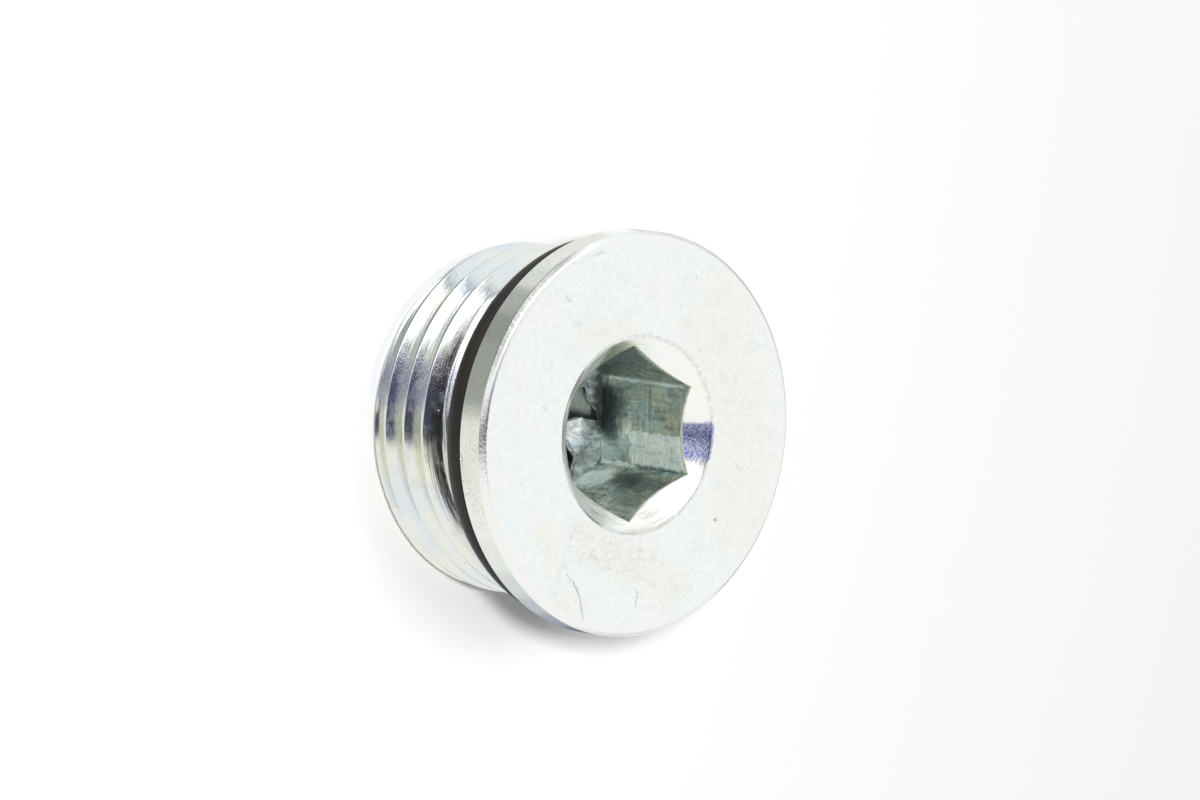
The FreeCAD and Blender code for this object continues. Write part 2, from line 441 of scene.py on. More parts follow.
class Wiring:
    """Adds nodes to one shader tree. Numbers, colours and other nodes' sockets all serve as inputs."""

    def __init__(self, tree):
        self.tree = tree

    def feed(self, socket, value):
        if isinstance(value, bpy.types.NodeSocket):
            self.tree.links.new(value, socket)
        elif socket.type == "RGBA":
            socket.default_value = (*value[:3], 1)
        elif socket.type == "VECTOR" and isinstance(value, float):
            socket.default_value = (value, value, value)
        else:
            socket.default_value = value

    def node(self, kind, inputs=None, **settings):
        node = self.tree.nodes.new(kind)
        for name, value in settings.items():
            setattr(node, name, value)
        for name, value in (inputs or {}).items():
            self.feed(node.inputs[name], value)
        return node

    def calc(self, operation, *values, clamp=False):
        node = self.node("ShaderNodeMath", operation=operation, use_clamp=clamp)
        for socket, value in zip(node.inputs, values):
            self.feed(socket, value)
        return node.outputs[0]

    def times(self, first, second):
        return self.calc("MULTIPLY", first, second)

    def vector(self, operation, *values):
        node = self.node("ShaderNodeVectorMath", operation=operation)
        for socket, value in zip(node.inputs, values):
            self.feed(socket, value)
        return node.outputs["Value" if operation in ("DOT_PRODUCT", "LENGTH") else "Vector"]

    def remap(self, value, low, high, to_low=0.0, to_high=1.0):
        node = self.node("ShaderNodeMapRange", {"Value": value, "From Min": low, "From Max": high,
                                                "To Min": to_low, "To Max": to_high},
                         interpolation_type="SMOOTHSTEP")
        return node.outputs["Result"]

    def mix(self, share, first, second, mode="MIX"):
        node = self.node("ShaderNodeMix", data_type="RGBA", blend_type=mode)
        for number, value in ((0, share), (6, first), (7, second)):
            self.feed(node.inputs[number], value)
        return node.outputs[2]

    def noise(self, place, detail=2.0, roughness=0.5):
        node = self.node("ShaderNodeTexNoise", {"Vector": place, "Scale": 1.0, "Detail": detail,
                                                "Roughness": roughness})
        return node.outputs["Fac"]

    def alike(self, value):
        """A vector that holds one value three times."""
        return self.node("ShaderNodeCombineXYZ", {axis: value for axis in "XYZ"}).outputs[0]

    def place(self):
        """Object coordinates in millimetres."""
        spot = self.node("ShaderNodeTexCoord").outputs["Object"]
        return self.vector("MULTIPLY", spot, 1 / MM)

    def toward(self, direction):
        """How far a point lies along a direction from the origin, in millimetres."""
        return self.vector("DOT_PRODUCT", self.place(), direction)

    def off_axis(self):
        """Distance from the plug's axis in millimetres."""
        return self.vector("LENGTH", self.vector("MULTIPLY", self.place(), (1, 1, 0)))

    def place_turned(self, place):
        """Coordinates that run round the plug's axis and across it, with no seam."""
        flat = self.vector("MULTIPLY", place, (1, 1, 0))
        around = self.vector("NORMALIZE", flat)
        around = self.vector("MULTIPLY", around, (TURNED_RADIUS, TURNED_RADIUS, 0))
        height = self.vector("DOT_PRODUCT", place, (0, 0, 1))
        across = self.calc("MULTIPLY_ADD", self.vector("LENGTH", flat), TURNED_RATE, height)
        upward = self.node("ShaderNodeCombineXYZ", {"Z": across}).outputs[0]
        return self.vector("ADD", around, upward)

    def effect(self, name, **inputs):
        """One of the shared effects below, placed with its own values."""
        node = self.node("ShaderNodeGroup", node_tree=bpy.data.node_groups[name])
        for label, value in inputs.items():
            self.feed(node.inputs[label.replace("_", " ")], value)
        return node.outputs

    # Four of the effects, by the inputs that every use gives and with the one output that they make

    def grain(self, cells, **inputs):
        return self.effect("tool_grain", Cells=cells, **inputs)["Value"]

    def marks(self, cells, size, share, **inputs):
        return self.effect("scattered_marks", Cells=cells, Size=size, Share=share, **inputs)["Mask"]

    def stroke(self, start, end, width, **inputs):
        return self.effect("brush_mark", Start=start, End=end, Width=width, **inputs)["Mask"]

    def tint(self, plain, cool, warm, cells, amount):
        return self.effect("plating_tint", Plain=plain, Cool=cool, Warm=warm, Cells=cells,
                           Amount=amount)["Color"]


SOCKET_KINDS = {float: "NodeSocketFloat", tuple: "NodeSocketVector", str: "NodeSocketColor"}


def new_effect(name, inputs, outputs):
    """A shader node group. A float gives a value input, a tuple a vector and a text a colour."""
    tree = bpy.data.node_groups.new(name, "ShaderNodeTree")
    for label, default in inputs.items():
        kind = SOCKET_KINDS[type(default)]
        socket = tree.interface.new_socket(label, in_out="INPUT", socket_type=kind)
        if not isinstance(default, str):
            socket.default_value = default
    for label, kind in outputs.items():
        tree.interface.new_socket(label, in_out="OUTPUT", socket_type=SOCKET_KINDS[kind])
    wiring = Wiring(tree)
    return wiring, wiring.node("NodeGroupInput").outputs, wiring.node("NodeGroupOutput").inputs


def stretched_place(wiring, given):
    """The place that an effect's Turned, Lean, Cells and Seed inputs ask for."""
    place = wiring.place()
    leaned = wiring.node("ShaderNodeVectorRotate", {"Vector": place, "Angle": given["Lean"]},
                         rotation_type="Z_AXIS").outputs[0]
    chosen = wiring.node("ShaderNodeMix", data_type="VECTOR")
    for number, value in ((0, given["Turned"]), (4, leaned), (5, wiring.place_turned(place))):
        wiring.feed(chosen.inputs[number], value)
    sized = wiring.vector("MULTIPLY", chosen.outputs[1], given["Cells"])
    return wiring.vector("ADD", sized, wiring.alike(given["Seed"]))


PLACED = {"Turned": 0.0, "Lean": 0.0, "Cells": (1.0, 1.0, 1.0), "Seed": 0.0}


def make_tool_grain():
    """Cloudy grain, drawn out into lines where Cells differ from one direction to another."""
    wiring, given, made = new_effect("tool_grain", {**PLACED, "Detail": 2.0, "Low": 0.3, "High": 0.7},
                                     {"Value": float})
    noise = wiring.noise(stretched_place(wiring, given), given["Detail"], 0.6)
    wiring.feed(made["Value"], wiring.remap(noise, given["Low"], given["High"]))


def make_scattered_marks():
    """Small pits, or short scratches where Cells are stretched, in a share of the cells."""
    wiring, given, made = new_effect("scattered_marks", {**PLACED, "Size": 0.1, "Share": 0.3},
                                     {"Mask": float})
    place = stretched_place(wiring, given)
    cells = wiring.node("ShaderNodeTexVoronoi", {"Vector": place, "Scale": 1.0})
    inner = wiring.times(given["Size"], 0.4)
    spot = wiring.remap(cells.outputs["Distance"], inner, given["Size"], 1.0, 0.0)
    chance = wiring.vector("DOT_PRODUCT", cells.outputs["Color"], (1, 0, 0))
    kept = wiring.calc("LESS_THAN", chance, given["Share"])
    wiring.feed(made["Mask"], wiring.times(spot, kept))


def make_brush_mark():
    """A soft stroke from Start to End in millimetres: a scratch, a stain or a burnished patch."""
    wiring, given, made = new_effect(
        "brush_mark", {"Start": (0.0, 0.0, 0.0), "End": (1.0, 0.0, 0.0), "Width": 0.1, "Core": 0.3,
                       "Waver": 0.0, "Waver Cells": 2.0}, {"Mask": float})
    place = wiring.place()
    cells = wiring.alike(given["Waver Cells"])
    wander = wiring.node("ShaderNodeTexNoise", {"Vector": wiring.vector("MULTIPLY", place, cells),
                                                "Scale": 1.0, "Detail": 3.0}).outputs["Color"]
    wander = wiring.vector("SUBTRACT", wander, 0.5)
    reach = wiring.alike(given["Waver"])
    place = wiring.vector("ADD", place, wiring.vector("MULTIPLY", wander, reach))
    run = wiring.vector("SUBTRACT", given["End"], given["Start"])
    offset = wiring.vector("SUBTRACT", place, given["Start"])
    along = wiring.calc("DIVIDE", wiring.vector("DOT_PRODUCT", offset, run),
                        wiring.vector("DOT_PRODUCT", run, run), clamp=True)
    nearest = wiring.vector("MULTIPLY", run, wiring.alike(along))
    distance = wiring.vector("LENGTH", wiring.vector("SUBTRACT", offset, nearest))
    inner = wiring.times(given["Width"], given["Core"])
    wiring.feed(made["Mask"], wiring.remap(distance, inner, given["Width"], 1.0, 0.0))


def make_plating_tint():
    """Zinc's plain colour with slow cool and warm clouds in it."""
    wiring, given, made = new_effect(
        "plating_tint", {"Plain": "color", "Cool": "color", "Warm": "color", "Cells": (0.2, 0.2, 0.2),
                         "Amount": 0.5}, {"Color": str})
    cloud = wiring.noise(wiring.vector("MULTIPLY", wiring.place(), given["Cells"]), 3.0, 0.55)
    clouded = wiring.mix(wiring.remap(cloud, 0.35, 0.65), given["Cool"], given["Warm"])
    wiring.feed(made["Color"], wiring.mix(given["Amount"], given["Plain"], clouded))


def make_crystal_sparkle():
    """Plating crystals: a random tint and height for each tiny cell."""
    wiring, given, made = new_effect(
        "crystal_sparkle", {"Plain": "color", "Blue": "color", "Violet": "color", "Cells": 8.0,
                            "Amount": 0.5}, {"Color": str, "Height": float})
    place = wiring.vector("MULTIPLY", wiring.place(), wiring.alike(given["Cells"]))
    cells = wiring.node("ShaderNodeTexVoronoi", {"Vector": place, "Scale": 1.0})
    first = wiring.vector("DOT_PRODUCT", cells.outputs["Color"], (1, 0, 0))
    second = wiring.vector("DOT_PRODUCT", cells.outputs["Color"], (0, 1, 0))
    tint = wiring.mix(second, given["Blue"], given["Violet"])
    share = wiring.times(wiring.remap(first, 0.2, 0.9), given["Amount"])
    wiring.feed(made["Color"], wiring.mix(share, given["Plain"], tint))
    ripple = wiring.noise(place, 2.0, 0.6)
    wiring.feed(made["Height"], wiring.calc("MULTIPLY_ADD", cells.outputs["Distance"], 0.5, ripple))


# Finishes

def new_material(name):
    """An empty material, its wiring and the input that takes its shader."""
    material = bpy.data.materials.new(name)
    material.use_nodes = True
    material.node_tree.nodes.clear()
    wiring = Wiring(material.node_tree)
    return material, wiring, wiring.node("ShaderNodeOutputMaterial").inputs["Surface"]


def new_finish(name, metallic, roughness, specular=0.5):
    """A material with one Principled shader: the material, its wiring and the shader's inputs."""
    material, wiring, surface = new_material(name)
    shader = wiring.node("ShaderNodeBsdfPrincipled", {"Metallic": metallic, "Roughness": roughness,
                                                      "Specular IOR Level": specular})
    wiring.feed(surface, shader.outputs["BSDF"])
    return material, wiring, shader.inputs


def raise_surface(wiring, shader, height):
    """Bump from a height in millimetres."""
    bump = wiring.node("ShaderNodeBump", {"Strength": 1.0, "Distance": MM, "Height": height})
    wiring.feed(shader["Normal"], bump.outputs["Normal"])


def total(wiring, *parts):
    """The sum of masks, each with its weight."""
    result = 0.0
    for mask, weight in parts:
        result = wiring.calc("MULTIPLY_ADD", mask, weight, result)
    return result


# Marks on the face: start, end, width in millimetres, and how dark
FACE_MARKS = [
    ((7.4, -5.8), (8.5, -5.5), 0.07, 0.25),
    ((8.5, -5.5), (9.0, -4.9), 0.10, 0.55),
    ((9.0, -4.9), (9.9, -4.4), 0.13, 0.65),
    ((9.9, -4.4), (11.1, -4.1), 0.11, 0.60),
    ((11.1, -4.1), (11.8, -3.9), 0.12, 0.40),
    ((9.6, -4.5), (10.3, -4.7), 0.08, 0.35),
    ((9.8, 0.3), (10.7, 0.25), 0.09, 0.60),
    ((5.6, 6.6), (5.7, 6.7), 0.14, 0.80),
    ((-2.0, -7.9), (-1.9, -7.6), 0.12, 0.35),
    ((2.9, -9.6), (2.4, -9.2), 0.08, 0.22),
    ((-8.8, -6.3), (-8.5, -5.9), 0.16, 0.35),
    ((-11.3, -4.3), (-11.5, -3.4), 0.20, 0.30),
    ((-9.8, 4.4), (-9.7, 4.5), 0.12, 0.40),
    ((-8.1, 3.2), (-7.8, 3.2), 0.09, 0.45),
    ((7.4, -3.6), (7.6, -3.2), 0.30, 0.22),
    ((10.5, 2.4), (11.5, 2.6), 0.06, 0.25),
    ((7.2, 0.3), (7.3, 0.6), 0.24, 0.22),
    ((2.2, 8.2), (2.6, 8.7), 0.08, 0.30),
    ((8.2, -1.0), (9.6, 1.9), 0.10, 0.16),
    ((-5.2, 4.8), (-5.1, 4.9), 0.12, 0.35),
]

# Warm stains on the face: start, end and reach in millimetres
FACE_STAINS = [
    ((-7.0, 6.5), (5.0, 9.5), 5.0),
    ((6.5, -4.0), (9.5, 3.0), 2.6),
    ((-6.3, -4.5), (-6.5, -1.5), 1.8),
    ((5.5, -7.5), (10.5, -5.5), 1.2),
]


def zinc_face():
    """The flat face, with warm stains, scratches, pits and its own marks."""
    material, wiring, shader = new_finish("zinc_face", 1.0, 0.42)
    color = wiring.tint((0.925, 0.955, 0.945), (0.905, 0.955, 0.965), (0.935, 0.945, 0.905), 0.35, 0.55)
    for start, end, reach in FACE_STAINS:
        stain = wiring.stroke((*start, TOTAL_LENGTH), (*end, TOTAL_LENGTH), reach, Core=0.2, Waver=1.5,
                              Waver_Cells=0.4)
        color = wiring.mix(wiring.times(stain, 0.75), color, (0.915, 0.920, 0.860))
    grain = wiring.grain(3.2, Detail=4.0, Low=0.38, High=0.62)
    blotch = wiring.grain((0.9, 0.7, 0.9), Detail=3.0, Low=0.5, High=0.72, Seed=9.0)
    scratches = [wiring.marks(cells, 0.05, 0.35, Lean=lean, Seed=seed) for cells, lean, seed in
                 (((2.2, 0.55, 1), 0.5, 3.0), ((2.6, 0.7, 1), 1.9, 17.0), ((1.7, 0.45, 1), 2.7, 31.0))]
    pits = wiring.marks(1.3, 0.09, 0.22)
    marks = 0.0
    for start, end, width, depth in FACE_MARKS:
        stroke = wiring.stroke((*start, TOTAL_LENGTH), (*end, TOTAL_LENGTH), width, Core=0.0, Waver=0.35,
                               Waver_Cells=5.0)
        marks = wiring.calc("MAXIMUM", wiring.times(stroke, depth), marks)
    worn = total(wiring, (grain, 0.060), (blotch, 0.05), (scratches[0], 0.10), (scratches[1], 0.09),
                 (scratches[2], 0.10), (pits, 0.20))
    worn = wiring.calc("MAXIMUM", worn, marks)
    smudge = wiring.stroke((6.2, -4.6, TOTAL_LENGTH), (8.0, 0.2, TOTAL_LENGTH), 1.9, Waver=1.6,
                           Waver_Cells=0.9)
    specks = wiring.grain((4.6, 2.6, 4.6), Detail=5.0, Low=0.44, High=0.84, Seed=40.0)
    worn = wiring.calc("MULTIPLY_ADD", wiring.times(smudge, specks), 0.30, worn)
    wiring.feed(shader["Base Color"], wiring.mix(worn, color, (0.30, 0.32, 0.30)))
    wiring.feed(shader["Roughness"], wiring.remap(grain, 0.0, 1.0, 0.38, 0.48))
    raise_surface(wiring, shader, total(wiring, (grain, 0.003), (marks, -0.03), (pits, -0.01)))
    return material


def zinc_rim():
    """The turned rim, speckled on the side where it was handled, and the undercut behind it."""
    material, wiring, shader = new_finish("zinc_rim", 1.0, 0.20)
    color = wiring.tint((0.86, 0.87, 0.845), (0.83, 0.86, 0.86), (0.88, 0.87, 0.82), 0.5, 0.6)
    turned = wiring.grain((0.35, 0.35, 7.0), Turned=1.0, Detail=3.0)
    speckle = wiring.grain(9.0, Detail=3.0, Low=0.46, High=0.72)
    patchy = wiring.grain(0.6, Detail=3.0, Low=0.34, High=0.58, Seed=4.0)
    pits = wiring.marks(2.6, 0.16, 0.3)
    downward = wiring.toward((1, 0, 0))
    handled = wiring.times(wiring.remap(downward, -2.5, 0.5, 0.5, 1.0),
                           wiring.remap(downward, 3.5, 6.5, 1.0, 0.3))
    worn = wiring.times(handled, total(wiring, (wiring.times(speckle, patchy), 0.62), (turned, 0.05),
                                       (pits, 0.30)))
    color = wiring.mix(worn, color, (0.34, 0.29, 0.26))
    nick = wiring.stroke((0.9, -12.7, 11.65), (1.2, -12.7, 11.85), 0.16, Waver=0.1, Waver_Cells=5.0)
    wiring.feed(shader["Base Color"], color)
    raise_surface(wiring, shader, total(wiring, (turned, 0.001), (speckle, 0.0004), (pits, -0.004),
                                        (nick, -0.12)))
    return material


def zinc_edge():
    """The burnished and nicked chamfer round the face."""
    material, wiring, shader = new_finish("zinc_edge", 1.0, 0.20)
    sparkle = wiring.effect("crystal_sparkle", Plain=(0.90, 0.91, 0.88), Blue=(0.70, 0.74, 0.86),
                            Violet=(0.80, 0.74, 0.84), Cells=5.0, Amount=0.1)
    nicks = wiring.grain(5.0, Detail=3.0, Low=0.3, High=0.7)
    # Towards -X and -Y the outer part carries painted shade in chipped spots, which dims its highlight
    # there, and it is rougher so it shines less
    reach = wiring.off_axis()
    upper_left = wiring.toward((-0.676, -0.737, 0))
    painted_edge_shade = wiring.times(wiring.remap(upper_left, 11.1, 12.2), wiring.remap(reach, 12.46, 12.54))
    chipped = wiring.grain(7.0, Detail=4.0, Low=0.20, High=0.50, Seed=8.0)
    painted_edge_shade = wiring.times(painted_edge_shade, chipped)
    wiring.feed(shader["Roughness"], wiring.remap(upper_left, 9.5, 11.9, 0.20, 0.38))
    wiring.feed(shader["Base Color"], wiring.mix(painted_edge_shade, sparkle["Color"], (0.36, 0.37, 0.35)))
    raise_surface(wiring, shader, total(wiring, (nicks, 0.005), (sparkle["Height"], 0.003)))
    return material


def zinc_thread():
    """The threaded stud, with a belt of plating crystals down the camera's left side, tinted blue-violet
    as a painted reflection.
    """
    material, wiring, shader = new_finish("zinc_thread", 1.0, 0.15)
    color = wiring.tint((0.80, 0.83, 0.79), (0.75, 0.80, 0.83), (0.86, 0.85, 0.74), (0.3, 0.3, 0.5), 0.8)
    # Painted reflection: the belt tints the plating crystals blue-violet down the camera's left side
    belt = wiring.stroke((-2.8, -10.2, 0.0), (-2.8, -10.2, 8.0), 2.6, Core=0.3, Waver=1.2,
                         Waver_Cells=0.6)
    sparkle = wiring.effect("crystal_sparkle", Plain=color, Blue=(0.55, 0.62, 0.92),
                            Violet=(0.72, 0.60, 0.90), Cells=12.0,
                            Amount=wiring.remap(belt, 0.0, 1.0, 0.05, 0.65))
    cut = wiring.grain((0.25, 0.25, 6.0), Turned=1.0, Detail=3.0)
    dulled = wiring.grain((0.8, 0.8, 1.4), Detail=3.0, Low=0.45, High=0.7)
    pits = wiring.marks(1.5, 0.11, 0.15)
    # The run-out above the last crest, next to the rubber ring, is darker: painted shade
    run_out_painted_shade = wiring.remap(wiring.toward((0, 0, 1)), 6.4, 7.0)
    worn = total(wiring, (cut, 0.06), (pits, 0.35), (run_out_painted_shade, 0.28))
    wiring.feed(shader["Base Color"], wiring.mix(worn, sparkle["Color"], (0.30, 0.32, 0.31)))
    wiring.feed(shader["Roughness"], wiring.remap(dulled, 0.0, 1.0, 0.12, 0.26))
    crystals = wiring.times(sparkle["Height"], wiring.remap(belt, 0.0, 1.0, 0.0015, 0.009))
    raise_surface(wiring, shader, total(wiring, (crystals, 1.0), (cut, 0.003), (pits, -0.02)))
    return material


def zinc_mouth():
    """The countersink, cut smooth by a form tool."""
    material, wiring, shader = new_finish("zinc_mouth", 1.0, 0.12)
    color = wiring.tint((0.93, 0.94, 0.89), (0.92, 0.95, 0.95), (0.95, 0.93, 0.85), 0.4, 0.5)
    patch = wiring.stroke((0.7, 4.9, 12.9), (0.7, 6.0, 13.8), 1.4, Core=0.6, Waver=0.5, Waver_Cells=1.5)
    # The violet patch is a painted reflection of a dark area, with plating crystals in it. It is left
    # out where the rest of the plug mirrors it
    mirrored = wiring.node("ShaderNodeLightPath").outputs["Is Glossy Ray"]
    patch = wiring.times(patch, wiring.calc("SUBTRACT", 1.0, mirrored))
    color = wiring.mix(wiring.times(patch, 0.5), color, (0.42, 0.46, 0.72))
    sparkle = wiring.effect("crystal_sparkle", Plain=color, Blue=(0.10, 0.20, 0.64),
                            Violet=(0.26, 0.24, 0.64), Cells=13.0,
                            Amount=wiring.remap(patch, 0.0, 1.0, 0.02, 0.9))
    turned = wiring.grain((0.2, 0.2, 4.0), Turned=1.0, Detail=2.0)
    crystals = wiring.times(sparkle["Height"], wiring.remap(patch, 0.0, 1.0, 0.002, 0.008))
    raise_surface(wiring, shader, total(wiring, (crystals, 1.0), (turned, 0.003)))
    # The side towards -Y is burnished: matt and pale, with dark lines from the tool
    left = wiring.remap(wiring.toward((0, -1, 0)), 1.8, 3.2)
    lines = wiring.grain((0.12, 0.12, 1.9), Turned=1.0, Detail=3.0, Low=0.52, High=0.62, Seed=3.0)
    dark = wiring.times(wiring.times(lines, left), 0.8)
    downward = wiring.toward((1, 0, 0))
    scored = wiring.grain((0.22, 0.22, 3.4), Turned=1.0, Detail=4.0, Low=0.46, High=0.70, Seed=14.0)
    scored = wiring.times(scored, wiring.remap(downward, 0.6, 3.0, 0.0, 0.34))
    dark = wiring.calc("MAXIMUM", dark, scored)
    pale = wiring.mix(left, sparkle["Color"], (0.68, 0.72, 0.67))
    height = wiring.toward((0, 0, 1))
    dirt = wiring.grain(2.6, Detail=4.0, Low=0.25, High=0.65)
    dirt = wiring.times(dirt, wiring.remap(height, TOTAL_LENGTH - 0.16, TOTAL_LENGTH, 0.0, 0.30))
    pale = wiring.mix(dirt, pale, (0.30, 0.30, 0.27))
    wiring.feed(shader["Base Color"], wiring.mix(dark, pale, (0.12, 0.14, 0.13)))
    wiring.feed(shader["Metallic"], wiring.remap(left, 0.0, 1.0, 1.0, 0.35))
    lower = wiring.remap(downward, 1.5, 4.0, 0.0, 0.22)
    matt = wiring.remap(left, 0.0, 1.0, 0.14, 0.40)
    wiring.feed(shader["Roughness"], wiring.calc("ADD", lower, matt))
    return material


def zinc_lip():
    """The worn, rounded lip of the hexagon, warmer and paler than the rest: a painted highlight along
    its edges.
    """
    material, wiring, shader = new_finish("zinc_lip", 0.6, 0.35)
    # Pale, warm colour: a painted highlight along the lip
    color = wiring.tint((0.90, 0.90, 0.76), (0.78, 0.82, 0.74), (0.98, 0.90, 0.66), 0.9, 0.7)
    worn = wiring.grain(2.5, Detail=3.0, Low=0.35, High=0.7)
    wiring.feed(shader["Base Color"], wiring.mix(wiring.times(worn, 0.5), color, (0.35, 0.38, 0.33)))
    raise_surface(wiring, shader, wiring.times(worn, 0.01))
    return material


def wall_point(wall, side, height):
    """A point on a wall of the hexagon: the wall's angle in degrees, then millimetres."""
    angle = math.radians(wall)
    flat = ACROSS_FLATS / 2
    return (flat * math.cos(angle) - side * math.sin(angle),
            flat * math.sin(angle) + side * math.cos(angle), height)


# Painted highlights and painted shade on the broached walls, where they mirror light and dark: the
# wall's angle in degrees, start and end as (side, height) on that wall, reach in millimetres, and
# strength
PAINTED_HIGHLIGHT_PATCHES = [
    (90, (-0.98, 7.95), (-0.95, 12.9), 0.55, 0.75),
    (90, (-1.95, 8.1), (-2.0, 12.9), 0.75, 0.65),
    (90, (2.72, 5.5), (2.72, 12.4), 0.16, 0.55),
    (90, (-2.72, 5.0), (-2.72, 8.0), 0.20, 0.60),
    (30, (0.7, 5.3), (1.2, 6.3), 1.7, 1.0),
    (30, (-1.9, 6.2), (-1.9, 12.6), 1.0, 0.35),
    (210, (-1.0, 6.0), (0.5, 9.0), 1.2, 0.5),
    (330, (1.2, 6.0), (0.2, 11.0), 1.2, 0.5),
]
PAINTED_SHADE_PATCHES = [
    (90, (-0.3, 5.3), (1.3, 5.2), 1.4, 1.0),
    (90, (-0.4, 6.1), (1.0, 6.1), 1.5, 0.70),
    (90, (-2.4, 7.0), (-2.5, 7.0), 0.5, 0.4),
    (90, (-2.72, 8.6), (-2.72, 12.2), 0.25, 0.60),
    (30, (1.2, 8.2), (1.5, 9.5), 1.1, 0.85),
    (30, (0.9, 9.6), (1.3, 12.0), 1.1, 0.60),
    (150, (1.0, 5.0), (-2.0, 6.0), 1.2, 0.4),
]


def zinc_socket():
    """The broached walls: lines along them, chatter across them, thin green-grey plating, and painted
    highlights and shade.
    """
    material, wiring, shader = new_finish("zinc_socket", 1.0, 0.30)
    color = wiring.tint((0.88, 0.98, 0.90), (0.76, 0.96, 0.94), (0.96, 0.98, 0.74), (0.7, 0.7, 0.5), 0.8)
    broached = wiring.grain((4.5, 4.5, 0.5), Detail=4.0, Low=0.42, High=0.70)
    chatter = wiring.grain((0.5, 0.5, 4.5), Detail=4.0, Low=0.48, High=0.7, Seed=5.0)
    torn = wiring.grain((2.2, 2.2, 1.4), Detail=5.0, Low=0.48, High=0.72, Seed=12.0)
    fleck = wiring.grain(7.0, Low=0.42, High=0.68)
    # Painted shade from the patches above
    for wall, start, end, reach, strength in PAINTED_SHADE_PATCHES:
        patch = wiring.stroke(wall_point(wall, *start), wall_point(wall, *end), reach, Core=0.3,
                              Waver=1.0, Waver_Cells=1.6)
        color = wiring.mix(wiring.times(patch, strength), color, (0.08, 0.10, 0.10))
    # Painted highlights, pale and barely metallic
    painted_highlight = 0.0
    for wall, start, end, reach, strength in PAINTED_HIGHLIGHT_PATCHES:
        patch = wiring.stroke(wall_point(wall, *start), wall_point(wall, *end), reach,
                              Core=0.7 if wall == 90 else 0.2, Waver=0.5 if wall == 90 else 1.2,
                              Waver_Cells=2.4)
        painted_highlight = wiring.calc("MAXIMUM", painted_highlight, wiring.times(patch, strength))
    color = wiring.mix(painted_highlight, color, (0.88, 1.0, 0.94))
    wiring.feed(shader["Metallic"], wiring.remap(painted_highlight, 0.0, 1.0, 0.76, 0.05))
    # Painted shade: the two walls beside the one that faces the camera are darker, most of all the one
    # towards -X
    across = wiring.toward((1, 0, 0))
    painted_side_wall_shade = wiring.calc("ADD", wiring.remap(across, -2.9, -2.75, 1.9, 0.0),
                        wiring.remap(across, 2.6, 2.9))
    painted_side_wall_shade = wiring.times(painted_side_wall_shade, wiring.calc("SUBTRACT", 1.0, painted_highlight))
    region = wiring.grain(0.6, Low=0.40, High=0.60, Seed=21.0)
    broached = wiring.times(broached, region)
    chatter = wiring.times(chatter, wiring.calc("SUBTRACT", 1.0, region))
    dark = total(wiring, (broached, 0.55), (chatter, 0.55), (torn, 0.32), (painted_side_wall_shade, 0.26))
    dark = wiring.times(dark, wiring.remap(painted_highlight, 0.0, 1.0, 1.0, 0.3))
    dark = wiring.calc("MULTIPLY_ADD", wiring.times(fleck, painted_highlight), 0.30, dark)
    wiring.feed(shader["Base Color"], wiring.mix(dark, color, (0.16, 0.20, 0.19)))
    wiring.feed(shader["Roughness"], wiring.remap(torn, 0.0, 1.0, 0.24, 0.42))
    raise_surface(wiring, shader, total(wiring, (broached, 0.030), (chatter, 0.026), (torn, 0.026)))
    return material


def zinc_pilot():
    """The drilled pilot hole, where little plating reached."""
    material, wiring, shader = new_finish("zinc_pilot", 1.0, 0.35)
    color = wiring.tint((0.42, 0.52, 0.46), (0.34, 0.45, 0.41), (0.53, 0.58, 0.47), 0.8, 0.8)
    drilled = wiring.grain((0.9, 0.9, 5.0), Turned=1.0, Detail=4.0)
    wiring.feed(shader["Base Color"], wiring.mix(wiring.times(drilled, 0.4), color, (0.10, 0.12, 0.12)))
    raise_surface(wiring, shader, wiring.times(drilled, 0.006))
    return material


def zinc_chip():
    """Torn metal that the broach left: bright where it broke, and streaked with painted shade near the
    walls.
    """
    material, wiring, shader = new_finish("zinc_chip", 0.3, 0.22)
    color = wiring.tint((0.94, 0.97, 0.98), (0.66, 0.74, 0.82), (1.0, 1.0, 0.99), 1.2, 0.9)
    torn = wiring.grain((3.0, 1.4, 3.0), Detail=4.0, Low=0.35, High=0.65)
    reach = wiring.off_axis()
    # Painted shade, darker and streaked, towards the walls
    painted_shade_by_walls = wiring.times(wiring.remap(reach, 3.2, 3.8), 0.9)
    streaked = wiring.mix(torn, (0.10, 0.13, 0.13), (0.34, 0.42, 0.40))
    color = wiring.mix(painted_shade_by_walls, color, streaked)
    shade = wiring.stroke(wall_point(90, -0.2, 4.8), wall_point(90, 2.4, 4.8), 1.0, Core=0.3, Waver=0.9,
                          Waver_Cells=2.0)
    wiring.feed(shader["Base Color"], wiring.mix(wiring.times(shade, 0.92), color, (0.03, 0.04, 0.04)))
    raise_surface(wiring, shader, wiring.times(torn, 0.07))
    return material


def nitrile_rubber():
    """Black rubber with a fine skin and a few specks of dust."""
    material, wiring, shader = new_finish("nitrile_rubber", 0.0, 0.50, specular=0.35)
    color = wiring.tint((0.011, 0.010, 0.0095), (0.010, 0.0105, 0.011), (0.020, 0.016, 0.012), 0.4, 0.7)
    skin = wiring.grain(6.0, Detail=3.0)
    dust = wiring.marks(1.1, 0.08, 0.3)
    wiring.feed(shader["Base Color"], wiring.mix(wiring.times(dust, 0.6), color, (0.20, 0.17, 0.13)))
    wiring.feed(shader["Roughness"], wiring.remap(skin, 0.0, 1.0, 0.42, 0.58))
    raise_surface(wiring, shader, wiring.times(skin, 0.004))
    return material


# Studio: the photograph's camera looks at the head from above the stud's axis

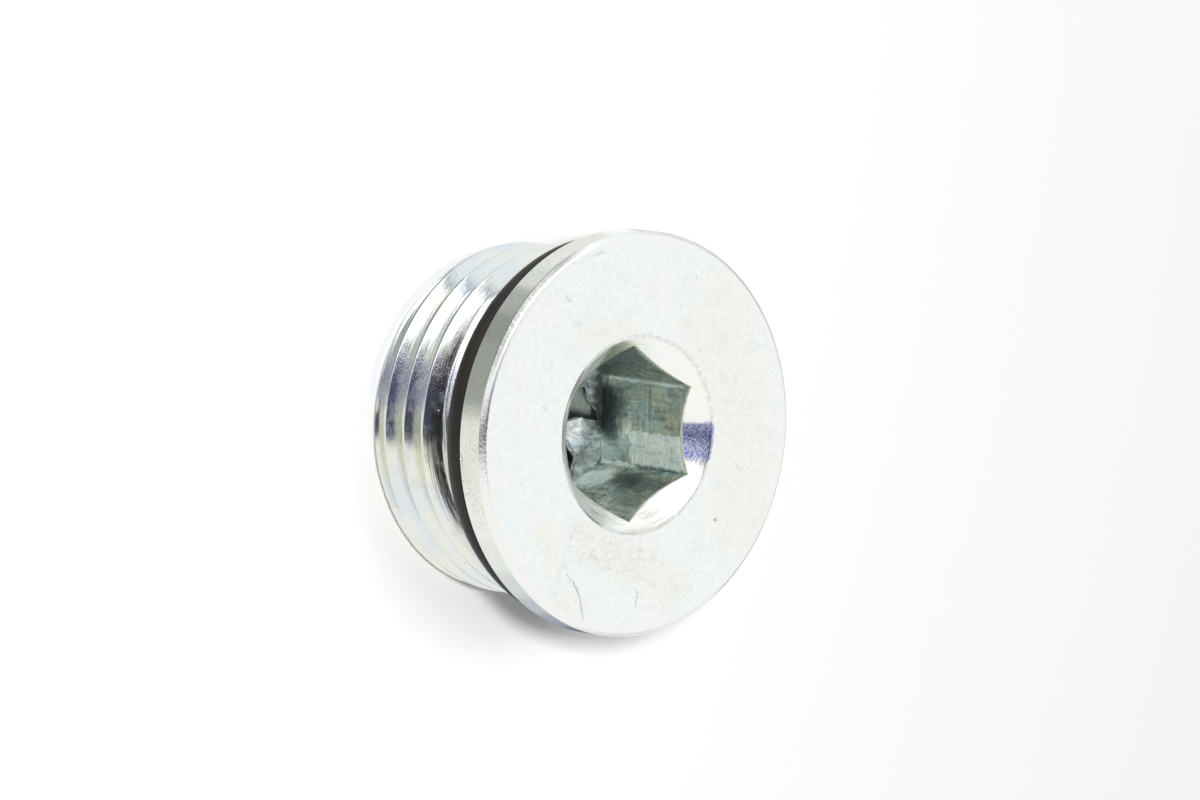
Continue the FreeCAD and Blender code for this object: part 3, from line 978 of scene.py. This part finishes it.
VIEW_RIGHT = Vector((-0.0322, 0.7559, 0.6539))
VIEW_UP = Vector((-0.9950, 0.0377, -0.0926))
VIEW_BACK = Vector((-0.0947, -0.6536, 0.7509))
CAMERA_PLACE = Vector((-46.073, -305.429, 360.935)) * MM
SENSOR_WIDTH = 36.0
PIXELS_WIDE = 1200
FOCAL_PIXELS = 7468.45
LAMP_DISTANCE = 0.5
CARD_DISTANCE = 0.6


def make_camera():
    data = bpy.data.cameras.new("camera")
    data.sensor_width = SENSOR_WIDTH
    data.lens = FOCAL_PIXELS * SENSOR_WIDTH / PIXELS_WIDE
    data.clip_start = 0.01
    camera = new_object("camera", data)
    rotation = Matrix((VIEW_RIGHT, VIEW_UP, VIEW_BACK)).transposed().to_4x4()
    camera.matrix_world = Matrix.Translation(CAMERA_PLACE) @ rotation
    bpy.context.scene.camera = camera


def view_direction(right, up, back):
    return (VIEW_RIGHT * right + VIEW_UP * up + VIEW_BACK * back).normalized()


def make_world():
    """White to the camera and to what mirrors it, and a dim fill for all else."""
    world = bpy.data.worlds.new("studio")
    bpy.context.scene.world = world
    world.use_nodes = True
    background = world.node_tree.nodes["Background"].inputs
    wiring = Wiring(world.node_tree)
    ray = wiring.node("ShaderNodeLightPath").outputs
    seen = wiring.calc("MAXIMUM", ray["Is Camera Ray"], ray["Is Glossy Ray"])
    seen = wiring.calc("MAXIMUM", seen, ray["Is Transmission Ray"])
    wiring.feed(background["Color"], (1, 1, 1))
    wiring.feed(background["Strength"], wiring.remap(seen, 0.0, 1.0, 0.21, 1.0))


def area_light(name, direction, size, energy):
    data = bpy.data.lights.new(name, "AREA")
    data.shape = "RECTANGLE"
    data.size, data.size_y = size
    data.energy = energy
    lamp = new_object(name, data)
    middle = Vector((0, 0, TOTAL_LENGTH * MM / 2))
    lamp.location = middle + direction * LAMP_DISTANCE
    lamp.rotation_euler = direction.to_track_quat("Z", "Y").to_euler()
    lamp.visible_glossy = False


def make_floor():
    size = 3.0
    mesh = bpy.data.meshes.new("floor")
    corners = [(-size, -size, 0), (size, -size, 0), (size, size, 0), (-size, size, 0)]
    mesh.from_pydata(corners, [], [(0, 1, 2, 3)])
    floor = new_object("floor", mesh)
    material, wiring, surface = new_material("pale_floor")
    diffuse = wiring.node("ShaderNodeBsdfDiffuse", {"Color": (0.9, 0.9, 0.9)})
    glow = wiring.node("ShaderNodeEmission", {"Strength": 0.05})
    both = wiring.node("ShaderNodeAddShader")
    wiring.feed(both.inputs[0], diffuse.outputs["BSDF"])
    wiring.feed(both.inputs[1], glow.outputs["Emission"])
    wiring.feed(surface, both.outputs["Shader"])
    mesh.materials.append(material)


def glossy_card(name, points, faces, color):
    """A glowing card of the studio that only reflections show."""
    mesh = bpy.data.meshes.new(name)
    mesh.from_pydata(points, [], faces)
    card = new_object(name, mesh)
    material, wiring, surface = new_material(name)
    glow = wiring.node("ShaderNodeEmission", {"Color": color})
    wiring.feed(surface, glow.outputs["Emission"])
    mesh.materials.append(material)
    card.visible_camera = False
    card.visible_diffuse = False
    card.visible_shadow = False
    card.visible_transmission = False


def studio_card(name, sideways, upward, color):
    """A card between angles round the camera's direction, in degrees: sideways counts to the right."""
    pieces = 12
    points = []
    for row in range(pieces + 1):
        up = math.radians(upward[0] + (upward[1] - upward[0]) * row / pieces)
        for column in range(pieces + 1):
            side = math.radians(sideways[0] + (sideways[1] - sideways[0]) * column / pieces)
            direction = view_direction(math.sin(side) * math.cos(up), math.sin(up),
                                       math.cos(side) * math.cos(up))
            points.append(direction * CARD_DISTANCE + Vector((0, 0, TOTAL_LENGTH * MM)))
    faces = [(row * (pieces + 1) + column, row * (pieces + 1) + column + 1,
              (row + 1) * (pieces + 1) + column + 1, (row + 1) * (pieces + 1) + column)
             for row in range(pieces) for column in range(pieces)]
    glossy_card(name, points, faces, color)


def floor_card(name, radii, angles, color, lift):
    """A card just above the floor: a sector round the plug, between two radii in millimetres and two
    angles in degrees, counted from the photograph's left side towards its top."""
    pieces = 24
    left = math.atan2(-VIEW_RIGHT.y, -VIEW_RIGHT.x)
    points = []
    for step in range(pieces + 1):
        angle = left - math.radians(angles[0] + (angles[1] - angles[0]) * step / pieces)
        for radius in radii:
            points.append((radius * math.cos(angle) * MM, radius * math.sin(angle) * MM, lift * MM))
    faces = [(2 * step, 2 * step + 1, 2 * step + 3, 2 * step + 2) for step in range(pieces)]
    glossy_card(name, points, faces, color)


# What the rim and the thread's crests mirror from the floor close by, those from -122 to -77 degrees a
# painted shadow of the plug: first and last angle, and colour
NEAR_FLOOR = [
    (-145, -122, (0.72, 0.75, 0.80)),
    (-122, -104, (0.13, 0.15, 0.20)),
    (-104, -90, (0.36, 0.39, 0.45)),
    (-90, -77, (0.56, 0.59, 0.64)),
    (-77, -62, (0.74, 0.78, 0.78)),
    (-62, -45, (0.88, 0.92, 0.89)),
    (-45, -20, (0.98, 1.0, 0.96)),
    (-20, 8, (0.90, 0.91, 0.86)),
    (8, 13, (0.60, 0.62, 0.58)),
    (13, 40, (0.37, 0.40, 0.37)),
    (40, 54, (0.31, 0.335, 0.32)),
    (54, 68, (0.46, 0.48, 0.45)),
    (68, 82, (0.80, 0.83, 0.79)),
    (82, 115, (0.90, 0.91, 0.89)),
]
NEAR_RADII = (11.3, 34)
FAR_RADII = (25, 90)


def make_studio():
    make_camera()
    make_world()
    make_floor()
    area_light("front_lamp", view_direction(0.095, 0.045, 0.99), size=(0.04, 0.04), energy=1.8)
    area_light("key_softbox", view_direction(0.57, 0.05, 0.82), size=(0.18, 0.12), energy=0.85)
    studio_card("camera_side_flag", sideways=(-45, 48), upward=(-14.5, -2), color=(0.06, 0.07, 0.12))
    studio_card("camera_side_flag_top", sideways=(0, 48), upward=(-2, 19), color=(0.08, 0.09, 0.14))
    studio_card("overhead_softbox", sideways=(-25, 46), upward=(21, 70), color=(2.2, 2.2, 2.2))
    studio_card("cool_gap", sideways=(46, 52), upward=(15, 60), color=(0.30, 0.36, 0.45))
    studio_card("cool_side", sideways=(52, 115), upward=(5, 75), color=(0.99, 1.02, 1.05))
    for number, (first, last, color) in enumerate(NEAR_FLOOR):
        floor_card("near_floor_%02d" % number, NEAR_RADII, (first, last), color, lift=0.2)
    floor_card("dark_floor_left", FAR_RADII, (-12, 31), (0.05, 0.06, 0.09), lift=0.1)
    floor_card("soft_floor_left", FAR_RADII, (-80, -12), (0.96, 0.97, 0.88), lift=0.1)
    floor_card("brown_floor_behind", (14, 60), (130, 215), (0.55, 0.54, 0.50), lift=0.2)


def main():
    bpy.context.scene.view_settings.view_transform = "Standard"
    for make_effect in (make_tool_grain, make_scattered_marks, make_brush_mark, make_plating_tint,
                        make_crystal_sparkle):
        make_effect()
    make_plug_body([finish() for finish in (zinc_face, zinc_rim, zinc_edge, zinc_thread, zinc_mouth,
                                            zinc_lip, zinc_socket, zinc_pilot)])
    make_sealing_ring(nitrile_rubber())
    make_broach_chips(zinc_chip())
    make_studio()


main()
